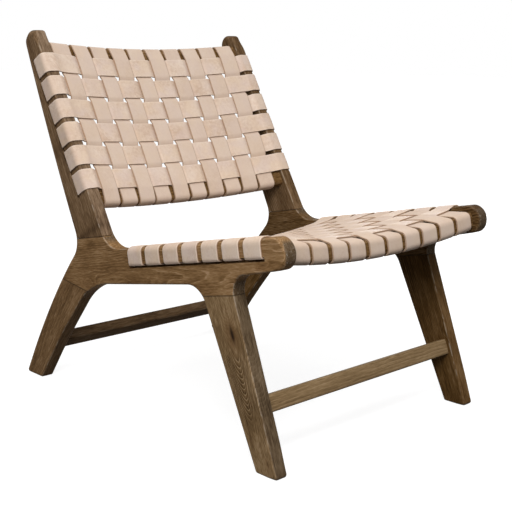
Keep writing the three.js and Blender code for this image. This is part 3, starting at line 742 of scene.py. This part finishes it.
def rounded_section(low, high, radius, notch=None):
    """Closed section of a bar, with quarter circles at its corners and a notch in the middle of its foot.

    Returns the points and how far round a corner each one is, 1 at the middle of the corner.
    """
    turn = np.radians(np.linspace(0, 90, 7))
    corners = [(high, (1, 1), 0), ((low[0], high[1]), (-1, 1), 90),
               (low, (-1, -1), 180), ((high[0], low[1]), (1, -1), 270)]
    points = []
    arris = []
    for k, (corner, (sx, sy), start) in enumerate(corners):
        centre = np.array(corner) - radius * np.array([sx, sy])
        angle = turn + np.radians(start)
        points.append(centre + radius * np.column_stack([np.cos(angle), np.sin(angle)]))
        arris.append(np.sin(2 * turn))
        if k == 2 and notch is not None:
            middle = (low[0] + high[0]) / 2
            sides = middle + slot_width / 2 * np.array([-1, -1, 1, 1])
            points.append(np.column_stack([sides, low[1] + notch * np.array([0, 1, 1, 0])]))
            arris.append(np.zeros(4))
    return np.vstack(points), np.concatenate(arris)


def capped(rings, size):
    """Faces of a bar: bands between its rings and a flat face over each end."""
    return banded(rings, size) + [list(range(size)), list(range((rings - 1) * size, rings * size))]


def lay_bar(name, rings, wear_and_sheen, heart, look):
    """Makes a wooden bar from the rings of points along it, worn pale and with a painted highlight at
    the corners of its section.
    """
    faces = capped(len(rings), len(wear_and_sheen))
    attributes = {"arris": np.tile(wear_and_sheen, len(rings))}
    material = timber(f"{name}_wood", level_axes, heart, **look)
    put_together(f"{name}_bar", np.vstack(rings), faces, attributes, material, [name])


def between_rails(panel, place, key):
    """A value of the panel's end rails, passing evenly from the one to the other along the panel."""
    low, high = panels[panel]["ends"]
    share = np.clip((place - low["inner"]) / (high["inner"] - low["inner"]), 0, 1)
    return low[key] + (high[key] - low[key]) * share


def column_edges(panel, column, place):
    """The two edges of a lengthwise strap: evenly spread, less the slack that the straps crowd by."""
    sizes = panels[panel]
    room = 2 * (inner_x - sizes["side_gap"]) - between_rails(panel, place, "slack")
    pitch = (room - sizes["column_width"]) / (sizes["columns"] - 1)
    left = sizes["side_gap"] - inner_x + column * pitch
    return left, left + sizes["column_width"]


# How strongly the rails' arrises are worn pale and lit by the painted highlight.
rail_wear_and_sheen = 0.5
groove_end = 0.05
no_groove = 0.02
for panel, sizes in panels.items():
    for number, rail in enumerate(sizes["ends"]):
        first = column_edges(panel, 0, rail["inner"])[0] - slot_overrun
        last = column_edges(panel, sizes["columns"] - 1, rail["inner"])[1] + slot_overrun
        grooved = np.linspace(first, last, 61)
        stations = np.concatenate([[-inner_x, first - groove_end], grooved, [last + groove_end, inner_x]])
        notches = np.full(len(stations), slot_depth)
        notches[[0, 1, -2, -1]] = no_groove
        low = (min(rail["inner"], rail["outer"]), -sizes["rail_depth"])
        high = (max(rail["inner"], rail["outer"]), 0.0)
        rings = []
        for x, notch in zip(stations, notches):
            section, arris = rounded_section(low, high, rail_radius, notch)
            rings.append(in_chair(panel, x, section[:, 0] + rail_shift(rail, x),
                                  section[:, 1] + rail_top(panel, rail, x)))
        heart = (40.0 + 25 * number, 60.0, 0.02, 0.02)
        lay_bar(rail["name"], rings, arris * rail_wear_and_sheen, heart, {"shade": 1.0, "warmth": 1.15})

# A stretcher stands square to its leg, with its front face stretcher_inset behind the leg's front edge, and
# the rise is the height over the floor where its middle meets that edge.
stretcher_inset = 8.0
stretcher_radius = 4.0
# How strongly the stretchers' arrises are worn pale and lit by the painted highlight.
stretcher_wear_and_sheen = 0.6
stretchers = [
    {"name": "front_stretcher", "foot": front_toe, "lean": front_leg_lean,
     "rise": 122.0, "height": 32.0, "thickness": 22.0,
     "look": {"shade": 1.60, "warmth": 0.96, "hue": 0.507, "contrast": 0.5}},
    # The rear stretcher's low shade is partly painted shade, for its place under the seat.
    {"name": "rear_stretcher", "foot": rear_toe, "lean": rear_leg_lean,
     "rise": 79.0, "height": 28.5, "thickness": 27.0,
     "look": {"shade": 0.60, "warmth": 1.04}},
]
for bar in stretchers:
    rising = leaning(bar["lean"])
    inward = leaning(90 + bar["lean"])
    high = np.array([bar["thickness"], bar["height"]]) / 2
    edge = crossing(bar["foot"], rising, np.array([0, bar["rise"]]), level)
    middle = edge + (stretcher_inset + bar["thickness"] / 2) * inward
    section, arris = rounded_section(-high, high, stretcher_radius)
    outline = middle + (section[:, :1] * inward + section[:, 1:] * rising)
    stations = np.linspace(-inner_x, inner_x, 31)
    rings = [np.column_stack([np.full(len(section), x), outline]) for x in stations]
    heart = (float(middle[0]) - 45.0, float(middle[1]) + 60.0, 0.015, 0.01)
    lay_bar(bar["name"], rings, arris * stretcher_wear_and_sheen, heart, bar["look"])

# Woven straps: flat straps of natural vegetable-tanned leather, woven over and under by one. The cross
# straps bend round the side frames into the long slots, and the lengthwise ones round the rails into the
# grooves.

# A strap's middle lies strap_seat over the wood, and crossing_lift over or under the middle of the weave
# where it crosses another. It goes into the slot slot_entry below the slot's top edge.
strap_thickness = 3.0
strap_seat = 1.8
crossing_lift = 1.65
crossing_margin = 1.0
slot_entry = 2.6
tuck_depth = 11.0
path_step = 1.5


def weave_height(panel, x, place):
    """Height of the weave's middle over the panel's line.

    It starts from a drop at the edge, sags as a parabola across the chair and rises as another one from
    the first cross strap to the last.
    """
    sizes = panels[panel]
    run_low, run_high = strap_runs[panel]
    from_middle = 2 * (place - run_low) / (run_high - run_low) - 1
    rise = sizes["middle_rise"] * (1 - from_middle ** 2)
    return rise - sizes["edge_drop"] - between_rails(panel, place, "bow") * sag(x)


def row_pitch(panel):
    """Step from one cross strap to the next."""
    sizes = panels[panel]
    low, high = strap_runs[panel]
    return (high - low - sizes["row_width"]) / (sizes["rows"] - 1)


def row_drift(panel, x):
    """How far the skew has moved a cross strap along the panel, from 0 at the left frame."""
    return row_skews[panel] * np.clip((x + inner_x) / (2 * inner_x), 0, 1)


def over_under(position, pitch, width, first_is_over):
    """Lift of a strap along its length, from its position past the first strap that it crosses.

    It lies level on each crossing strap, with a slight swell, and passes smoothly to the other side in
    the gap between two of them.
    """
    half_gap = (pitch - width) / 2
    number = np.floor((position + half_gap) / pitch)
    inside = position - number * pitch
    sign = np.where((number + first_is_over) % 2 == 1, 1.0, -1.0)
    from_edge = np.minimum(inside, width - inside) + half_gap
    level_share = np.clip(from_edge / (half_gap - crossing_margin + 1e-6), 0, 1)
    level_share = np.sin(level_share * np.pi / 2)
    swell_height = 0.2
    swell = swell_height * np.clip(1 - ((inside - width / 2) / (width / 2)) ** 2, 0, 1)
    return sign * (crossing_lift * level_share + swell)


def stepped(points):
    """Points along a bent line at even steps of about path_step."""
    points = np.asarray(points, dtype=float)
    walked = np.concatenate([[0], np.cumsum(np.linalg.norm(np.diff(points, axis=0), axis=1))])
    place = np.linspace(0, walked[-1], max(2, int(round(walked[-1] / path_step)) + 1))
    return np.stack([np.interp(place, walked, points[:, axis]) for axis in (0, 1)], axis=1)


def arc_points(centre, radius, start, end):
    """Points on an arc round a centre, from one angle in degrees to another."""
    angle = np.radians(np.linspace(start, end, 13))
    return np.column_stack([centre[0] + radius * np.cos(angle), centre[1] + radius * np.sin(angle)])


def eased(grid, passes=5):
    """Evens out a row of points along its length: each moves towards the mean of its neighbours."""
    grid = grid.copy()
    for _ in range(passes):
        grid[1:-1] = 0.25 * grid[:-2] + 0.5 * grid[1:-1] + 0.25 * grid[2:]
    return grid


def softened(path, knee):
    """Evens out a row of points strongly round one of them, so that a bend there turns into a slope."""
    reach = 7.0
    near = np.exp(-((np.arange(len(path)) - knee) / reach) ** 2)[:, None, None]
    return path * (1 - near) + eased(path, passes=60) * near


def strap_section(width):
    """Closed section of a strap: places across it, heights from its middle, and which side each is on.

    The face is crowned as a flat parabola, the cut edges are rounded and the flesh side is flat.
    """
    half = width / 2
    soft = 0.9
    rim_width = 2.4
    crown_height = 0.25
    flats = np.array([soft - half, rim_width - half, -half / 2, 0, half / 2, half - rim_width, half - soft])
    crown = crown_height * (1 - (flats / half) ** 2)
    turn = np.radians([60, 30, 0, -30, -60])
    edge_across = half - soft + soft * np.cos(turn)
    edge_height = (strap_thickness / 2 - soft) * np.sign(turn) + soft * np.sin(turn)
    across = np.concatenate([flats, edge_across, flats[::-1], -edge_across])
    height = np.concatenate([strap_thickness / 2 + crown, edge_height,
                             np.full(7, -strap_thickness / 2), edge_height[::-1]])
    ends = np.array([1, 0, 0, 0, 0, 0, 1.0])
    turning = np.array([1, 0.5, 0, 0, 0])
    rim = np.concatenate([ends, turning, np.zeros(7), turning[::-1]])
    cut = np.concatenate([np.zeros(7), 1 - turning, ends, 1 - turning[::-1]])
    flesh = np.concatenate([np.zeros(7), np.full(5, 0.5), np.ones(7), np.full(5, 0.5)])
    return across, height, {"rim": rim, "cut": cut, "flesh": flesh}


def strap_skin(middle_of, width):
    """Closed skin of a strap round its middle surface.

    middle_of gives the middle surface at places across the strap. Each point of the section is moved off
    that surface along its normal, which is the cross product of the steps along and across the strap.
    It also gives how far each point has dipped under a crossing strap, 1 where it is quite under it.
    """
    across, height, sides = strap_section(width)
    middle, under = middle_of(across)
    along_step = np.gradient(middle, axis=0)
    across_step = middle_of(across + 0.5)[0] - middle_of(across - 0.5)[0]
    normal, _ = unit(np.cross(along_step, across_step))
    # The surface is worked out in fine steps, and every second one is kept.
    kept = slice(None, None, 2)
    grid = (middle + normal * height[None, :, None])[kept]
    bend = np.linalg.norm(np.gradient(normal, axis=0), axis=-1)[kept] / path_step
    rows, size = grid.shape[:2]
    middle_line = int(np.argmin(np.abs(across)))
    length = np.cumsum(np.linalg.norm(along_step[:, middle_line], axis=-1))[kept]
    sharp_bend = 9.0
    attributes = {key: np.tile(values, rows) for key, values in sides.items()}
    attributes["bend"] = np.clip(bend * sharp_bend, 0, 1).ravel()
    attributes["under"] = under[kept].ravel()
    attributes["run"] = np.repeat(length, size)
    attributes["across"] = np.tile(across, rows)
    return grid.reshape(-1, 3), capped(rows, size), attributes


def cross_strap(panel, row):
    """Middle surface of a cross strap, as a function of the places across the strap."""
    sizes = panels[panel]
    centre = strap_runs[panel][0] + row * row_pitch(panel) + sizes["row_width"] / 2
    mouth = slot_top - slot_entry
    outer_arris, inner_arris = strap_arris[panel]
    outer_edge = (outer_arris - outer_x, -outer_arris)
    inner_edge = np.array([-inner_x - inner_arris, -inner_arris])
    bend = inner_arris + strap_seat

    def lift_at(x, place):
        left, right = column_edges(panel, 0, place)
        column_pitch = column_edges(panel, 1, place)[0] - left
        return over_under(x - left, column_pitch, right - left, row % 2)

    def height_at(x, place):
        return weave_height(panel, x, place) + lift_at(x, place)

    def wrap(place, sign):
        edges = column_edges(panel, 0 if sign < 0 else sizes["columns"] - 1, place)
        first = np.array([edges[0] - crossing_margin if sign < 0 else -edges[1] - crossing_margin, 0.0])
        first[1] = height_at(first[0] * -sign, place)
        away = first - inner_edge
        tangent = np.degrees(np.arctan2(away[1], away[0]) + np.arccos(bend / np.linalg.norm(away)))
        round_edges = np.vstack([
            [[tuck_depth - outer_x, mouth], [-outer_x - strap_seat, mouth]],
            arc_points(outer_edge, outer_arris + strap_seat, 180, 90),
            arc_points(inner_edge, bend, 90, tangent),
            first,
        ])
        return stepped(round_edges)

    left_wrap = wrap(centre, -1)
    right_wrap = wrap(centre + row_skews[panel], 1)[::-1] * [-1, 1]
    weave_x = np.arange(left_wrap[-1, 0] + path_step, right_wrap[0, 0], path_step)

    def middle_of(across):
        place = centre + across[None, :] + row_drift(panel, weave_x[:, None])
        weave = height_at(weave_x[:, None], place)
        wide = np.ones((1, len(across)))
        x = np.concatenate([left_wrap[:, :1] * wide, weave_x[:, None] * wide, right_wrap[:, :1] * wide])
        height = np.concatenate([left_wrap[:, 1:] * wide, weave, right_wrap[:, 1:] * wide])
        path = eased(np.stack([x, height], axis=-1))
        if row % 2 == 1:
            path = softened(path, len(left_wrap))
        if (row + sizes["columns"]) % 2 == 0:
            path = softened(path, len(path) - len(right_wrap))
        dip = np.clip(-lift_at(weave_x[:, None], place) / crossing_lift, 0, 1)
        under = np.concatenate([left_wrap[:, :1] * wide * 0, dip, right_wrap[:, :1] * wide * 0])
        along = centre + across[None, :] + row_drift(panel, path[..., 0])
        return in_chair(panel, path[..., 0], along, path[..., 1]), under

    return middle_of


# Straps that have slipped sideways, counted from 0 at the left: by how much at either end.
slips = {("seat", 1): (-2.5, -2.5), ("seat", 3): (-2.5, -2.5), ("back", 3): (-3.5, 1.0),
         ("back", 8): (-1.0, -1.0), ("back", 9): (-2.5, -2.5)}
# Straps whose left edge is spread against the post at the top rail.
spreads = {("back", 0): 6.0}


def lengthwise_strap(panel, column):
    """Middle surface of a strap along the panel, as a function of the places across the strap."""
    sizes = panels[panel]
    low_end, high_end = sizes["ends"]
    low, high = strap_runs[panel]
    pitch = row_pitch(panel)
    bend = rail_radius + strap_seat
    bottom = -sizes["rail_depth"]

    def centre_at(place):
        left, right = column_edges(panel, column, place)
        return (left + right) / 2 + np.interp(place, [low, high], slips.get((panel, column), (0, 0)))

    def lift_at(x, place):
        position = place - low - row_drift(panel, x)
        return over_under(position, pitch, sizes["row_width"], (column + 1) % 2)

    first = low - crossing_margin + row_drift(panel, centre_at(low))
    last = high + crossing_margin + row_drift(panel, centre_at(high))
    weave_place = np.arange(first, last + path_step / 2, path_step)

    def wrap(rail, meet):
        width = abs(rail["inner"] - rail["outer"])
        inward = np.sign(rail["inner"] - rail["outer"])
        x = centre_at(rail["inner"])
        start = rail["outer"] + rail_shift(rail, x)
        meet_height = weave_height(panel, x, meet) + lift_at(x, meet) - rail_top(panel, rail, x)
        return stepped(np.vstack([
            [[width / 2, bottom + tuck_depth], [width / 2, bottom - strap_seat]],
            arc_points((rail_radius, bottom + rail_radius), bend, 270, 180),
            arc_points((rail_radius, -rail_radius), bend, 180, 90),
            [[inward * (meet - start), meet_height]],
        ]))

    low_wrap = wrap(low_end, first)
    high_wrap = wrap(high_end, last)[::-1]

    def rail_part(rail, path, across):
        x = centre_at(rail["inner"]) + across[None, :]
        inward = np.sign(rail["inner"] - rail["outer"])
        place = rail["outer"] + rail_shift(rail, x) + inward * path[:, :1]
        return x, place, path[:, 1:] + rail_top(panel, rail, x)

    def middle_of(across):
        low_x, low_place, low_height = rail_part(low_end, low_wrap[:-1], across)
        high_x, high_place, high_height = rail_part(high_end, high_wrap[1:], across)
        x = centre_at(weave_place)[:, None] + across[None, :]
        spread = spreads.get((panel, column), 0.0) * (0.5 - across / sizes["column_width"])
        x = x - spread * ramp(weave_place, high - 40, high - 5)[:, None]
        high_x = high_x - spread
        lift = lift_at(x, weave_place[:, None])
        height = weave_height(panel, x, weave_place[:, None]) + lift
        place = weave_place[:, None] * np.ones_like(x)
        wide = np.ones((1, len(across)))
        path = eased(np.stack([
            np.concatenate([low_x * np.ones_like(low_place), x, high_x * np.ones_like(high_place)]),
            np.concatenate([low_place, place, high_place]),
            np.concatenate([low_height * wide, height, high_height * wide]),
        ], axis=-1))
        dip = np.clip(-lift / crossing_lift, 0, 1)
        under = np.concatenate([low_place * wide * 0, dip, high_place * wide * 0])
        return in_chair(panel, path[..., 0], path[..., 1], path[..., 2]), under

    return middle_of


def natural_leather():
    """Vegetable-tanned leather: matt pinkish beige with a fine pebbled grain, clouds and growth lines.

    It is tan in some places and lilac in others. The rim of the face is creamy, partly from burnishing and
    partly a painted highlight, and the cut edges are brown. Tight bends are browner, the places where a
    strap dips under another are darkened with painted shade, and the flesh side is paler and rough.
    """
    material, paint, shader = new_paint("natural_leather")
    run = paint.attribute("run")
    across = paint.attribute("across")
    tone = paint.attribute("tone")
    flesh = paint.attribute("flesh")
    bend = paint.attribute("bend")
    own = tone * 37

    def grained(along_scale, across_scale, seed, detail=2.0, rough=0.5):
        """Noise with one scale along the strap and another one across it."""
        return paint.noise(run * along_scale, across * across_scale, seed, detail, rough)

    cloud = grained(0.016, 0.022, own, 3.0)
    mottle = grained(0.16, 0.16, own, 4.0, 0.7)
    pebble = grained(0.9, 0.9, own)
    crease = grained(0.35, 0.05, own, 3.0)
    growth = paint.noise(run * 0.34 + across * 0.26, across * 0.04 - run * 0.03, own, 3.0, 0.6)
    lined = grained(0.012, 0.01, own + 9, 1.0).rise(0.50, 0.64)
    lines = (growth - 0.5).math("ABSOLUTE").rise(0.0, 0.06)
    shade = 0.5 + (cloud - 0.5) * 0.8 + (mottle - 0.5) * 0.9 + (pebble - 0.5) * 0.3 + (tone - 0.5) * 0.16
    shade = shade - (1 - lines) * lined * 0.22
    colour = shade.node("ShaderNodeValToRGB", {"stops": [
        (0.15, (0.575, 0.412, 0.302)),
        (0.50, (0.705, 0.559, 0.450)),
        (0.85, (0.785, 0.655, 0.552)),
    ]}, {"Fac": shade})
    # What changes the colour, one after the other: tan and lilac places, bends, painted shade where a strap
    # dips under another, creamy rims that are partly a painted highlight, cut edges and the flesh side,
    # each with its strength and its own colour.
    changes = [
        (grained(0.02, 0.02, own + 4).rise(0.40, 0.64), 0.45, (0.705, 0.535, 0.385)),
        (grained(0.022, 0.03, own + 12).rise(0.44, 0.64), 0.40, (0.665, 0.530, 0.478)),
        (bend, 0.20, (0.47, 0.31, 0.21)),
        # Painted shade where a strap dips under another.
        (paint.attribute("under"), 0.65, (0.33, 0.19, 0.11)),
        # The creamy rim is partly burnished leather and partly a painted highlight.
        (paint.attribute("rim"), 0.40, (0.84, 0.72, 0.60)),
        (paint.attribute("cut"), 0.80, (0.32, 0.19, 0.11)),
        (flesh.rise(0.6, 1.0), 0.50, (0.62, 0.48, 0.38)),
    ]
    for mask, strength, changed in changes:
        colour = (mask * strength).blend(colour, (*changed, 1))
    colour.feed(shader, "Base Color")
    (0.60 + (mottle - 0.5) * 0.2 + flesh * 0.25).feed(shader, "Roughness")
    (pebble * 0.5 + mottle * 0.3 + crease * bend * 1.5 + lines * lined * 0.4).emboss(shader, 0.3, 0.0006)
    shader.inputs["Specular IOR Level"].default_value = 0.25
    return material


leather = natural_leather()
strap_names = {"seat": "seat_long_strap", "back": "back_upright_strap"}
# The straps are a little narrower than the places that the weave keeps for them.
row_trim = 1.0
column_trims = {"seat": 2.8, "back": 1.0}
# How strongly painted shade darkens the straps where they dip under others.
shadings = {"seat": 1.0, "back": 0.35}
# How much darker the cross straps' tone is and how much lighter that of the lengthwise ones.
tone_shifts = {"seat": 0.0, "back": 0.35}
tones = np.random.default_rng(5)
for panel, sizes in panels.items():
    shift = tone_shifts[panel]
    width = sizes["row_width"] - row_trim
    laid = [(f"{panel}_cross_strap_{row + 1}", cross_strap(panel, row), width, -shift)
            for row in range(sizes["rows"])]
    width = sizes["column_width"] - column_trims[panel]
    laid += [(f"{strap_names[panel]}_{column + 1}", lengthwise_strap(panel, column), width, shift)
             for column in range(sizes["columns"])]
    for name, middle_of, width, shift in laid:
        points, faces, attributes = strap_skin(middle_of, width)
        attributes["tone"] = np.full(len(points), tones.uniform() + shift)
        attributes["under"] = attributes["under"] * shadings[panel]
        put_together(f"{name}_leather", points, faces, attributes, leather, [name])

# Studio: a white floor and background, soft light from the upper left, a weak low lamp on the right and a
# camera at the photograph's angle.


def seen_rays(paint):
    """1 for rays from the camera, from gloss and through glass, so that all of them see the background."""
    kinds = ("Camera", "Glossy", "Transmission")
    rays = [paint.node("ShaderNodeLightPath", output=f"Is {kind} Ray") for kind in kinds]
    return rays[0].math("MAXIMUM", rays[1]).math("MAXIMUM", rays[2])


floor_reach = 30.0
floor_corners = [(floor_reach * sx, floor_reach * sy, 0) for sx, sy in ((-1, -1), (1, -1), (1, 1), (-1, 1))]
floor_mesh = bpy.data.meshes.new("floor")
floor_mesh.from_pydata(floor_corners, [], [(0, 1, 2, 3)])
floor = bpy.data.objects.new("floor", floor_mesh)
bpy.context.scene.collection.objects.link(floor)
floor_material, paint, shader = new_paint("floor_white")
# The floor is dark to the light that the chair gets from below, and to the eye it glows a little.
floor_seen = seen_rays(paint)
(0.04 + floor_seen * 0.46).feed(shader, "Base Color")
shader.inputs["Roughness"].default_value = 1.0
shader.inputs["Specular IOR Level"].default_value = 0.0
glow = paint.node("ShaderNodeEmission", None, {"Color": (1, 1, 1, 1), "Strength": 4.05}, "Emission")
plain_floor = Paint(paint.tree, shader.outputs[0])
shown = paint.node("ShaderNodeMixShader", None, {0: floor_seen * 0.2, 1: plain_floor, 2: glow}, "Shader")
shown.feed(paint.tree.nodes["Material Output"], "Surface")
floor_mesh.materials.append(floor_material)

world = bpy.data.worlds.new("studio")
bpy.context.scene.world = world
world.use_nodes = True
sky = Paint(world.node_tree)
background = world.node_tree.nodes["Background"]
background.inputs["Color"].default_value = (1, 1, 1, 1)
overhead = sky.node("ShaderNodeTexCoord", output="Generated").along((0, 0, 1)).rise(-0.1, 1.0)
seen = seen_rays(sky)
((0.07 + overhead * 0.64) * (1 - seen) + seen).feed(background, "Strength")


def softbox(name, place, size, power):
    """A square lamp that faces the middle of the chair."""
    lamp = bpy.data.lights.new(name, "AREA")
    lamp.shape = "SQUARE"
    lamp.size = size
    lamp.energy = power
    stand = bpy.data.objects.new(name, lamp)
    stand.location = place
    aim = Vector((0, 0, 0.4)) - Vector(place)
    stand.rotation_mode = "QUATERNION"
    stand.rotation_quaternion = aim.to_track_quat("-Z", "Y")
    bpy.context.scene.collection.objects.link(stand)


softbox("key_light", (-1.2, -1.6, 2.8), 1.1, 42.0)
softbox("fill_light", (-1.9, -1.5, 1.8), 1.2, 29.0)
softbox("side_light", (2.4, 1.1, 0.6), 1.2, 14.0)

# The camera looks at its target from a bearing and a height over the floor, with a slight roll.
azimuth, elevation, roll = np.radians([-43.9, 11.6, 0.8])
distance = 2.0674
focal_pixels = 982.5
photo_pixels = 512
target = np.array([-0.0006, -0.0354, 0.2988])
flat_back = np.array([np.sin(azimuth), -np.cos(azimuth), 0])
back = flat_back * np.cos(elevation) + np.array([0, 0, np.sin(elevation)])
right = np.array([np.cos(azimuth), np.sin(azimuth), 0])
up = np.cross(back, right)
tipped_right = right * np.cos(roll) + up * np.sin(roll)
tipped_up = up * np.cos(roll) - right * np.sin(roll)
pose = np.eye(4)
pose[:3, :3] = np.column_stack([tipped_right, tipped_up, back])
pose[:3, 3] = target + back * distance
camera_data = bpy.data.cameras.new("camera")
camera_data.sensor_width = 36.0
camera_data.lens = focal_pixels * camera_data.sensor_width / photo_pixels
camera = bpy.data.objects.new("camera", camera_data)
camera.matrix_world = Matrix(pose.tolist())
bpy.context.scene.collection.objects.link(camera)
bpy.context.scene.camera = camera
bpy.context.scene.view_settings.view_transform = "Standard"
